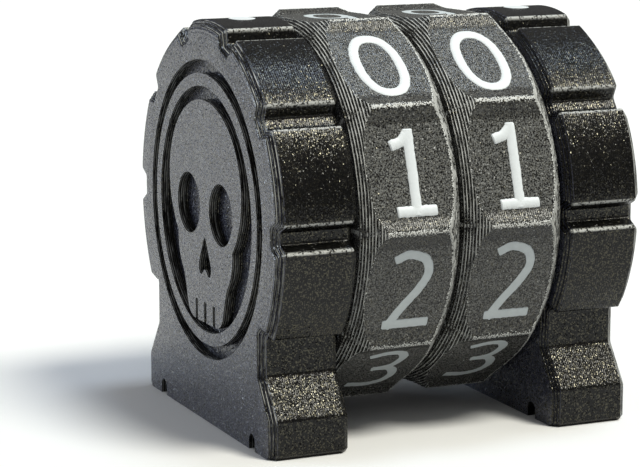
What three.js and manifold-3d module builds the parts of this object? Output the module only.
// A life counter: two upright stands carry an axle, and two ten-sided number dials turn on it.
// Millimetres, +Z up, +X along the axle, front towards -Y, origin on the table under the middle.
import * as THREE from "three";
import { mergeVertices } from "three/addons/utils/BufferGeometryUtils.js";
import Module from "manifold-3d";

// Driving dimensions of the whole counter
const axleHeight = 19.4;
const dialGap = 0.3; // between the two dials
const standGap = 0.3; // between a dial and its stand
const seatGap = 0.15; // all round a piece pushed into its seat
const inlayGap = 0.05; // all round a white inlay in its pocket
const overrun = 1; // how far a cutter runs past the face it cuts

// Dials
const positions = 10; // numerals on a dial
const dialWidth = 9.6;
const dialRadius = 18.1; // to the ridges between facets
const dialChamfer = 2; // cone on both edges, measured at a ridge
const rampLength = 1.5; // slanted strip between a ridge and the sunk panel
const rampAngle = THREE.MathUtils.degToRad(18);
const boreChamfer = 0.4;

// Numerals
const numeralWidth = 4.1;
const numeralHeight = 7.6;
const numeralStroke = 0.9;
const numeralPocketDepth = 0.8;
const numeralSink = 0.05; // from the panel down to the white fill
const numeralShift = -0.15; // along the panel, from its middle

// Axle and the washer between the dials
const axleRadius = 4;
const axleRunningGap = 0.1;
const axleKeyRadius = 3.9; // to the corners of the six-sided ends
const axleKeyLength = 4.4;
const axleKeyChamfer = 0.5;
const washerRadius = 7;
const washerGap = 0.12; // on both faces and round the rim
const washerSeatDepth = 0.55; // counterbore in each dial

// Stands
const standThickness = 7.45;
const standRadius = 17;
const standChamfer = 0.65; // round the outer face
const standInnerChamfer = 0.6; // round the face beside the dial
const notchesPerSide = 3; // between the head's segments, in line with the dials' ridges
const notchMouth = 2.3;
const notchFloor = 1.1;
const notchDepth = 1.2;
const neckWidth = 25.5;
const footWidth = 30.4;
const footHeight = 3.45; // upright face at both ends of the base
const footSlopeTop = 6.9;
const footChamfer = 0.35; // along the bottom edges
const baseSlotSpacing = 21.8;
const baseSlotWidth = 1.35;
const baseSlotHeight = 1.45;

// Emblem on the outer face of a stand
const reliefDepth = 1;
const grooveOuterRadius = 13.45;
const grooveInnerRadius = 12.25;
const emblemRadius = 11.1;

// Index dot on top of a stand
const dotRadius = 1.25;
const dotPocketDepth = 0.8;
const dotSink = 0.1;

// Detent: a sprung ball in each stand clicks into dimples in the dial beside it
const detentRadius = 10.5; // from the axle's centre line
const ballRadius = 1.5;
const ballPocketGap = 0.15;
const ballPocketDepth = 5;
const trackWidth = 2.6; // ring groove that the ball's tip runs in
const trackDepth = 0.5;
const trackTipGap = 0.15; // ball's tip to the floor of the groove
const dimpleDepth = 0.45; // below the floor of the groove
const dimpleClearance = 0.1; // dimple's radius over the ball's
const springRadius = 1.05; // to the middle of the wire
const springWire = 0.4;
const springTurns = 3;
const springEndGap = 0.2;

// Facets on round stretches
const arcSteps = 4; // along one segment of a stand
const revolveSteps = 40;
const shaftSteps = 32;
const ringSteps = 40; // the emblem's large circles
const smallRoundSteps = 20;
const numeralRoundSteps = 16;
const dimpleSteps = 8;
const curveSteps = 2; // along each span of a numeral's curve
const springStepsPerTurn = 8;
const springSides = 5;
const keySides = 6;
const weldDistance = 1e-5;

// Worked out from the sizes above
const stepAngle = (2 * Math.PI) / positions;
const ridgeSpread = stepAngle / 2;
const dialCentre = (dialGap + dialWidth) / 2;
const standInnerX = dialGap / 2 + dialWidth + standGap;
const ridgeApothem = dialRadius * Math.cos(ridgeSpread);
const panelApothem = ridgeApothem - rampLength * Math.sin(rampAngle);
const panelHalf = dialRadius * Math.sin(ridgeSpread) - rampLength * Math.cos(rampAngle);
const dialBoreRadius = axleRadius + axleRunningGap;
const trackFloorX = dialWidth / 2 - trackDepth;

const colours = { printed: 0x3f3e3c, white: 0xf2f2ee, steel: 0xb4b7ba };
const finishes = {
  printed: { color: colours.printed, roughness: 0.55, metalness: 0.1 },
  white: { color: colours.white, roughness: 0.5, metalness: 0 },
  steel: { color: colours.steel, roughness: 0.3, metalness: 1 },
};

const wasm = await Module();
wasm.setup();

// A closed three.js geometry as a solid that can be joined to others and cut.
function solid(geometry) {
  const bare = new THREE.BufferGeometry();
  bare.setAttribute("position", geometry.getAttribute("position"));
  bare.setIndex(geometry.index);
  const welded = mergeVertices(bare, weldDistance);
  const corners = welded.index.array;
  const kept = [];
  for (let i = 0; i < corners.length; i += 3) {
    const [a, b, c] = corners.subarray(i, i + 3);
    if (a !== b && b !== c && c !== a) kept.push(a, b, c);
  }
  const mesh = new wasm.Mesh({
    numProp: 3,
    vertProperties: welded.attributes.position.array,
    triVerts: new Uint32Array(kept),
  });
  return new wasm.Manifold(mesh);
}

// A solid back as a three.js geometry.
function geometryOf(body) {
  const { vertProperties, triVerts, numProp } = body.getMesh();
  const buffer = new THREE.InterleavedBuffer(vertProperties, numProp);
  const geometry = new THREE.BufferGeometry();
  geometry.setAttribute("position", new THREE.InterleavedBufferAttribute(buffer, 3, 0));
  geometry.setIndex(new THREE.BufferAttribute(triVerts, 1));
  const plain = geometry.toNonIndexed();
  plain.computeVertexNormals();
  return plain;
}

function piece(name, body, finish) {
  const material = new THREE.MeshStandardMaterial(finishes[finish]);
  const mesh = new THREE.Mesh(geometryOf(body), material);
  mesh.name = name;
  return mesh;
}

function joined(bodies) {
  return bodies.reduce((whole, body) => whole.add(body));
}

// An outline drawn in Y and Z, made solid from X = from to X = to.
// A full circle in it gets circleSteps sides.
function alongX(shape, from, to, circleSteps = smallRoundSteps, bevel = { bevelEnabled: false }) {
  const geometry = new THREE.ExtrudeGeometry(shape, {
    depth: to - from,
    curveSegments: circleSteps / 2,
    ...bevel,
  });
  const yz = new THREE.Matrix4().makeBasis(
    new THREE.Vector3(0, 1, 0),
    new THREE.Vector3(0, 0, 1),
    new THREE.Vector3(1, 0, 0),
  );
  return solid(geometry.applyMatrix4(yz).translate(from, 0, 0));
}

// A closed profile of [distance along X, radius] points, turned round the X axis.
function turned(profile, steps) {
  const points = [...profile, profile[0]].map(([x, r]) => new THREE.Vector2(r, x));
  return solid(new THREE.LatheGeometry(points, steps).rotateZ(-Math.PI / 2));
}

function discOutline(radius, hole = 0) {
  const shape = new THREE.Shape().absarc(0, 0, radius, 0, 2 * Math.PI);
  if (hole) shape.holes.push(new THREE.Path().absarc(0, 0, hole, 0, 2 * Math.PI, true));
  return shape;
}

// A point at an angle from straight up, turning towards +Y, in an outline of Y and Z.
function polar(angle, radius, sideways = 0) {
  return new THREE.Vector2(
    radius * Math.sin(angle) + sideways * Math.cos(angle),
    radius * Math.cos(angle) - sideways * Math.sin(angle),
  );
}

// Numerals, drawn with strokes of one width. Points are shares of the half width and half height
// that the strokes' centre lines reach, measured from the numeral's middle.
const numeralShares = {
  0: [{ ring: [-0.07, -0.02, 1.25, 1.02] }],
  1: [
    { curve: [[-0.73, 0.7], [-0.3, 0.77], [0.02, 0.92]] },
    { line: [[0.15, 0.96], [0.15, -1.04]] },
    { line: [[-0.76, -1.04], [1.07, -1.04]] },
  ],
  2: [
    {
      curve: [
        [-0.8, 0.93], [-0.2, 1.03], [0.76, 0.87], [1.06, 0.45], [0.57, -0.03], [-0.31, -0.56], [-0.9, -0.99],
      ],
    },
    { line: [[-1, -0.99], [1.22, -0.99]] },
  ],
  3: [
    { curve: [[-0.85, 0.88], [-0.1, 1], [0.7, 0.95], [1.08, 0.62], [0.75, 0.16], [-0.1, 0]] },
    { curve: [[-0.1, 0], [0.8, -0.06], [1.25, -0.45], [0.95, -0.86], [0.1, -1.04], [-0.95, -0.97]] },
  ],
  4: [
    { line: [[0.4, 1], [-1, -0.34]] },
    { line: [[-1, -0.34], [1, -0.34]] },
    { line: [[0.46, 1], [0.46, -1]] },
  ],
  5: [
    { line: [[-0.74, 1], [0.82, 1]] },
    { line: [[-0.74, 1], [-0.82, 0.1]] },
    {
      curve: [
        [-0.82, 0.1], [-0.1, 0.24], [0.7, 0.06], [1, -0.38], [0.7, -0.84], [-0.05, -1], [-0.95, -0.86],
      ],
    },
  ],
  6: [
    { ring: [0, -0.42, 1, 0.58] },
    { curve: [[0.78, 0.94], [0.2, 1], [-0.5, 0.76], [-0.92, 0.25], [-1, -0.42]] },
  ],
  7: [{ line: [[-1, 1], [1, 1]] }, { line: [[1, 1], [-0.3, -1]] }],
  8: [{ ring: [0, 0.5, 0.84, 0.5] }, { ring: [0, -0.47, 1, 0.53] }],
  9: [
    { ring: [0, 0.42, 1, 0.58] },
    { curve: [[-0.78, -0.94], [-0.2, -1], [0.5, -0.76], [0.92, -0.25], [1, 0.42]] },
  ],
};

// The outline of a stroke along a centre line, with square ends that reach past it by half its width.
function strokeOutline(centreLine, width) {
  const half = width / 2;
  const last = centreLine.length - 1;
  const heading = (from, to) => to.clone().sub(from).normalize();
  const sides = centreLine.map((point, i) => {
    const before = heading(centreLine[Math.max(i - 1, 0)], centreLine[Math.max(i, 1)]);
    const after = heading(centreLine[Math.min(i, last - 1)], centreLine[Math.min(i + 1, last)]);
    const along = before.clone().add(after).normalize();
    const reach = half / along.dot(before);
    const across = new THREE.Vector2(-along.y, along.x).multiplyScalar(reach);
    const end = i === 0 ? -half : i === last ? half : 0;
    const middle = point.clone().addScaledVector(along, end);
    return [middle.clone().add(across), middle.clone().sub(across)];
  });
  return new THREE.Shape([...sides.map(([left]) => left), ...sides.map(([, right]) => right).reverse()]);
}

function ringOutline(x, y, radiusX, radiusY, width) {
  const half = width / 2;
  const shape = new THREE.Shape().absellipse(x, y, radiusX + half, radiusY + half, 0, 2 * Math.PI);
  shape.holes.push(
    new THREE.Path().absellipse(x, y, radiusX - half, radiusY - half, 0, 2 * Math.PI, true),
  );
  return shape;
}

// A numeral lying on Z = from, as thick as depth. Its strokes are as wide as width.
function numeral(digit, width, from, depth) {
  const reachX = (numeralWidth - numeralStroke) / 2;
  const reachY = (numeralHeight - numeralStroke) / 2;
  const place = ([x, y]) => new THREE.Vector2(x * reachX, y * reachY + numeralShift);
  const strokes = numeralShares[digit].map(({ ring, line, curve }) => {
    if (ring) {
      const [x, y, radiusX, radiusY] = ring;
      const middle = place([x, y]);
      return ringOutline(middle.x, middle.y, radiusX * reachX, radiusY * reachY, width);
    }
    if (line) return strokeOutline(line.map(place), width);
    const spline = new THREE.SplineCurve(curve.map(place));
    return strokeOutline(spline.getPoints(curveSteps * (curve.length - 1)), width);
  });
  const options = { depth, bevelEnabled: false, curveSegments: numeralRoundSteps / 2 };
  return joined(
    strokes.map((shape) => solid(new THREE.ExtrudeGeometry(shape, options).translate(0, 0, from))),
  );
}

// The ten-sided outline of a dial: ridges, and between them a sunk panel with a ramp at each end.
function dialOutline() {
  const points = [];
  for (let i = 0; i < positions; i++) {
    const middle = i * stepAngle;
    points.push(polar(middle - ridgeSpread, dialRadius));
    points.push(polar(middle, panelApothem, -panelHalf), polar(middle, panelApothem, panelHalf));
  }
  return new THREE.Shape(points.reverse());
}

// A dial's section: its bore, a seat for the washer on the inner side, the coned edges,
// and on the outer side the groove in which the detent ball's tip runs.
function dialSection() {
  const half = dialWidth / 2;
  const edge = half - dialChamfer;
  const side = dialRadius - dialChamfer;
  const seatX = -half + washerSeatDepth;
  const seatRadius = washerRadius + washerGap;
  return [
    [-half, seatRadius],
    [-half, side],
    [-edge + overrun, dialRadius + overrun],
    [edge - overrun, dialRadius + overrun],
    [half, side],
    [half, detentRadius + trackWidth / 2],
    [trackFloorX, detentRadius + trackWidth / 2],
    [trackFloorX, detentRadius - trackWidth / 2],
    [half, detentRadius - trackWidth / 2],
    [half, dialBoreRadius + boreChamfer],
    [half - boreChamfer, dialBoreRadius],
    [seatX + boreChamfer, dialBoreRadius],
    [seatX, dialBoreRadius + boreChamfer],
    [seatX, seatRadius],
  ];
}

// Hollows in the groove's floor, one for each position, that the detent ball clicks into.
function detentDimples() {
  const radius = ballRadius + dimpleClearance;
  const centreX = trackFloorX - dimpleDepth + radius;
  const ball = new THREE.SphereGeometry(radius, dimpleSteps, dimpleSteps / 2);
  const first = solid(ball.rotateZ(Math.PI / 2).translate(centreX, 0, detentRadius));
  const turn = THREE.MathUtils.radToDeg(stepAngle);
  return joined(Array.from({ length: positions }, (_, i) => first.rotate([i * turn, 0, 0])));
}

// side is +1 for a dial whose detent groove faces +X, and -1 for one whose groove faces -X.
function dialGroup(name, side) {
  const half = dialWidth / 2;
  const blank = turned(dialSection(), revolveSteps).intersect(alongX(dialOutline(), -half, half));
  const cut = blank.subtract(detentDimples());
  const group = new THREE.Group();
  group.position.set(side * dialCentre, 0, axleHeight);
  let body = side > 0 ? cut : cut.rotate([0, 0, THREE.MathUtils.radToDeg(Math.PI)]);
  for (let digit = 0; digit < positions; digit++) {
    const angle = (digit + 1) * stepAngle;
    const turn = THREE.MathUtils.radToDeg(angle);
    const floor = panelApothem - numeralPocketDepth;
    const cutter = numeral(digit, numeralStroke, floor, numeralPocketDepth + overrun);
    body = body.subtract(cutter.rotate([turn, 0, 0]));
    const thickness = numeralPocketDepth - numeralSink - inlayGap;
    const inlay = numeral(digit, numeralStroke - 2 * inlayGap, floor + inlayGap, thickness);
    const mesh = piece(`${name}_numeral_${digit}`, inlay, "white");
    mesh.rotation.x = angle;
    group.add(mesh);
  }
  group.add(piece(`${name}_dial`, body, "printed"));
  return group;
}

// The side view of a stand in Y and Z: a round head with notches, a neck and two spread feet.
// It reaches below the table, where the base outline cuts it off.
function standOutline() {
  const mouthAngle = Math.asin(notchMouth / 2 / standRadius);
  const floorRadius = standRadius - notchDepth;
  const half = [];
  let start = 0;
  for (let notch = 0; notch <= notchesPerSide; notch++) {
    const middle = ridgeSpread + notch * stepAngle;
    const end = middle - mouthAngle;
    for (let i = 0; i <= arcSteps; i++) {
      half.push(polar(start + ((end - start) * i) / arcSteps, standRadius));
    }
    half.push(polar(middle, floorRadius, -notchFloor / 2));
    if (notch < notchesPerSide) half.push(polar(middle, floorRadius, notchFloor / 2));
    start = middle + mouthAngle;
  }
  half.forEach((point) => (point.y += axleHeight));
  half.push(new THREE.Vector2(neckWidth / 2, half.at(-1).y - notchFloor / 2));
  half.push(new THREE.Vector2(neckWidth / 2, footSlopeTop));
  half.push(new THREE.Vector2(footWidth / 2, footHeight));
  half.push(new THREE.Vector2(footWidth / 2, -overrun));
  const mirrored = half.slice(1).map((point) => new THREE.Vector2(-point.x, point.y));
  return new THREE.Shape([...mirrored, ...half.reverse()]);
}

// What of a stand's side view stays: its slotted base with both bottom edges taken off.
function baseOutline() {
  const half = footWidth / 2;
  const low = half - footChamfer;
  const top = axleHeight + standRadius + overrun;
  const slotHalf = baseSlotWidth / 2;
  const wide = standRadius + overrun;
  const shape = new THREE.Shape();
  shape.moveTo(-low, 0);
  for (const middle of [-baseSlotSpacing / 2, baseSlotSpacing / 2]) {
    shape.lineTo(middle - slotHalf, 0);
    shape.lineTo(middle - slotHalf, baseSlotHeight - slotHalf);
    shape.absarc(middle, baseSlotHeight - slotHalf, slotHalf, Math.PI, 0, true);
    shape.lineTo(middle + slotHalf, 0);
  }
  shape.lineTo(low, 0);
  shape.lineTo(half, footChamfer);
  shape.lineTo(wide, footChamfer);
  shape.lineTo(wide, top);
  shape.lineTo(-wide, top);
  shape.lineTo(-wide, footChamfer);
  shape.lineTo(-half, footChamfer);
  return shape;
}

// A plain skull of arcs, in shares of the emblem's radius from the middle of the axle.
const skullShares = {
  cranium: [0, 0.2, 0.79, 0.69],
  craniumEnd: 0.72,
  cheek: [[0.6, -0.3], [0.57, -0.46], [0.47, -0.58]],
  jawTop: [0.43, -0.68],
  jawBottom: [0.37, -0.87],
  chin: [0.28, -0.93],
  eye: [0.35, 0.01, 0.25],
  nose: [[0, -0.2], [0.15, -0.48], [0.09, -0.56], [0, -0.47], [-0.09, -0.56], [-0.15, -0.48]],
  teeth: [-0.19, 0, 0.19],
  toothTop: -0.76,
  toothSlotWidth: 0.05,
};

function emblemPoint([x, y]) {
  return new THREE.Vector2(x * emblemRadius, axleHeight + y * emblemRadius);
}

function skullOutline() {
  const [x, y, radiusX, radiusY] = skullShares.cranium;
  const middle = emblemPoint([x, y]);
  const end = skullShares.craniumEnd;
  const half = [];
  const steps = smallRoundSteps / 2;
  for (let i = 0; i <= steps; i++) {
    const angle = Math.PI / 2 - ((Math.PI / 2 + end) * i) / steps;
    half.push(
      new THREE.Vector2(
        middle.x + radiusX * emblemRadius * Math.cos(angle),
        middle.y + radiusY * emblemRadius * Math.sin(angle),
      ),
    );
  }
  const { cheek, jawTop, jawBottom, chin } = skullShares;
  half.push(...[...cheek, jawTop, jawBottom, chin].map(emblemPoint));
  const mirrored = half.slice(1).map((point) => new THREE.Vector2(-point.x, point.y));
  const shape = new THREE.Shape([...mirrored, ...half.reverse()]);
  const [eyeX, eyeY, eyeRadius] = skullShares.eye;
  for (const side of [-1, 1]) {
    const eye = emblemPoint([side * eyeX, eyeY]);
    shape.holes.push(
      new THREE.Path().absarc(eye.x, eye.y, eyeRadius * emblemRadius, 0, 2 * Math.PI, true),
    );
  }
  shape.holes.push(new THREE.Path(skullShares.nose.map(emblemPoint)));
  return shape;
}

// What is sunk into the outer face of a stand: a ring groove, and a round field that leaves
// the skull standing at the height of the face.
function emblemCutter() {
  const floorX = standThickness - reliefDepth;
  const endX = standThickness + overrun;
  const lift = [0, 0, axleHeight];
  const field = alongX(discOutline(emblemRadius), floorX, endX, ringSteps);
  const groove = alongX(discOutline(grooveOuterRadius, grooveInnerRadius), floorX, endX, ringSteps);
  const slots = skullShares.teeth.map((x) => {
    const half = skullShares.toothSlotWidth / 2;
    const corners = [
      [x - half, -1],
      [x + half, -1],
      [x + half, skullShares.toothTop],
      [x - half, skullShares.toothTop],
    ];
    return alongX(new THREE.Shape(corners.map(emblemPoint)), floorX, endX);
  });
  const skull = alongX(skullOutline(), floorX - overrun, endX).subtract(joined(slots));
  return field.add(groove).translate(lift).subtract(skull);
}

function keySocket() {
  const radius = axleKeyRadius + seatGap;
  const depth = axleKeyLength + seatGap;
  const socket = new THREE.CylinderGeometry(radius, radius, depth + overrun, keySides);
  return solid(socket.rotateZ(-Math.PI / 2).translate((depth - overrun) / 2, 0, axleHeight));
}

function ballPocket() {
  const radius = ballRadius + ballPocketGap;
  const length = ballPocketDepth + overrun;
  const bore = new THREE.CylinderGeometry(radius, radius, length, smallRoundSteps);
  const height = axleHeight - detentRadius;
  return solid(bore.rotateZ(-Math.PI / 2).translate((ballPocketDepth - overrun) / 2, 0, height));
}

function dotPocket() {
  const depth = dotPocketDepth + overrun;
  const pocket = new THREE.CylinderGeometry(dotRadius, dotRadius, depth, smallRoundSteps);
  const middle = axleHeight + standRadius - dotPocketDepth + depth / 2;
  return solid(pocket.rotateX(Math.PI / 2).translate(standThickness / 2, 0, middle));
}

// A stand with its inner face on X = 0 and its outer face towards +X.
function standBody() {
  const bevel = {
    bevelEnabled: true,
    bevelSegments: 1,
    bevelSize: standChamfer,
    bevelThickness: standChamfer,
    bevelOffset: -standChamfer,
  };
  const outerEdge = standThickness - standChamfer;
  const plate = alongX(standOutline(), standInnerChamfer, outerEdge, smallRoundSteps, bevel);
  const trimmed = plate.intersect(alongX(baseOutline(), 0, standThickness + overrun));
  return [emblemCutter(), keySocket(), ballPocket(), dotPocket()].reduce(
    (body, cutter) => body.subtract(cutter),
    trimmed,
  );
}

function ball() {
  const middle = standGap + trackDepth - trackTipGap - ballRadius;
  const geometry = new THREE.SphereGeometry(ballRadius, dimpleSteps, dimpleSteps / 2);
  return solid(geometry.rotateZ(Math.PI / 2).translate(-middle, 0, axleHeight - detentRadius));
}

class Helix extends THREE.Curve {
  constructor(radius, length, turns) {
    super();
    Object.assign(this, { radius, length, turns });
  }
  getPoint(t) {
    const angle = t * this.turns * 2 * Math.PI;
    return new THREE.Vector3(
      t * this.length,
      this.radius * Math.cos(angle),
      this.radius * Math.sin(angle),
    );
  }
}

// The spring between the ball and the floor of its pocket.
function spring() {
  const ballMiddle = ballRadius + trackTipGap - trackDepth - standGap;
  const touch = ballMiddle + Math.sqrt(ballRadius ** 2 - springRadius ** 2);
  const from = touch + springEndGap + springWire / 2;
  const to = ballPocketDepth - springEndGap - springWire / 2;
  const section = new THREE.Shape();
  for (let i = 0; i < springSides; i++) {
    const point = polar((i * 2 * Math.PI) / springSides, springWire / 2);
    if (i === 0) section.moveTo(point.x, point.y);
    else section.lineTo(point.x, point.y);
  }
  const coil = new THREE.ExtrudeGeometry(section, {
    steps: springTurns * springStepsPerTurn,
    extrudePath: new Helix(springRadius, to - from, springTurns),
  });
  return solid(coil.translate(from, 0, axleHeight - detentRadius));
}

function indexDot() {
  const thickness = dotPocketDepth - dotSink - inlayGap;
  const radius = dotRadius - inlayGap;
  const disc = new THREE.CylinderGeometry(radius, radius, thickness, smallRoundSteps);
  const bottom = axleHeight + standRadius - dotPocketDepth + inlayGap;
  return solid(disc.rotateX(Math.PI / 2).translate(standThickness / 2, 0, bottom + thickness / 2));
}

// One printed stand serves both ends: the left one is the same piece turned half round.
function standGroup(name, side) {
  const group = new THREE.Group();
  group.position.x = side * standInnerX;
  if (side < 0) group.rotation.z = Math.PI;
  group.add(
    piece(`${name}_stand`, standBody(), "printed"),
    piece(`${name}_index_dot`, indexDot(), "white"),
    piece(`${name}_detent_ball`, ball(), "steel"),
    piece(`${name}_detent_spring`, spring(), "steel"),
  );
  return group;
}

// A round shaft with six-sided ends that sit in the stands and keep it from turning.
function axleBody() {
  const half = standInnerX - seatGap;
  const tip = standInnerX + axleKeyLength;
  const shaft = [
    [-half, 0],
    [-half, axleRadius],
    [half, axleRadius],
    [half, 0],
  ];
  const tipRadius = axleKeyRadius - axleKeyChamfer;
  const roundedEnds = [
    [-tip, 0],
    [-tip, tipRadius],
    [-tip + axleKeyChamfer, axleKeyRadius],
    [tip - axleKeyChamfer, axleKeyRadius],
    [tip, tipRadius],
    [tip, 0],
  ];
  const key = new THREE.CylinderGeometry(axleKeyRadius, axleKeyRadius, 2 * tip, keySides);
  const ends = solid(key.rotateZ(-Math.PI / 2)).intersect(turned(roundedEnds, shaftSteps));
  return turned(shaft, shaftSteps).add(ends);
}

function washerBody() {
  const half = dialGap / 2 + washerSeatDepth - washerGap;
  const section = [
    [-half, dialBoreRadius],
    [-half, washerRadius],
    [half, washerRadius],
    [half, dialBoreRadius],
  ];
  return turned(section, shaftSteps);
}

function axleGroup() {
  const group = new THREE.Group();
  group.position.z = axleHeight;
  group.add(piece("axle", axleBody(), "printed"), piece("dial_washer", washerBody(), "printed"));
  return group;
}

const lifeCounter = new THREE.Group();
lifeCounter.add(
  standGroup("left", -1),
  standGroup("right", 1),
  axleGroup(),
  dialGroup("tens", -1),
  dialGroup("units", 1),
);

export default lifeCounter;
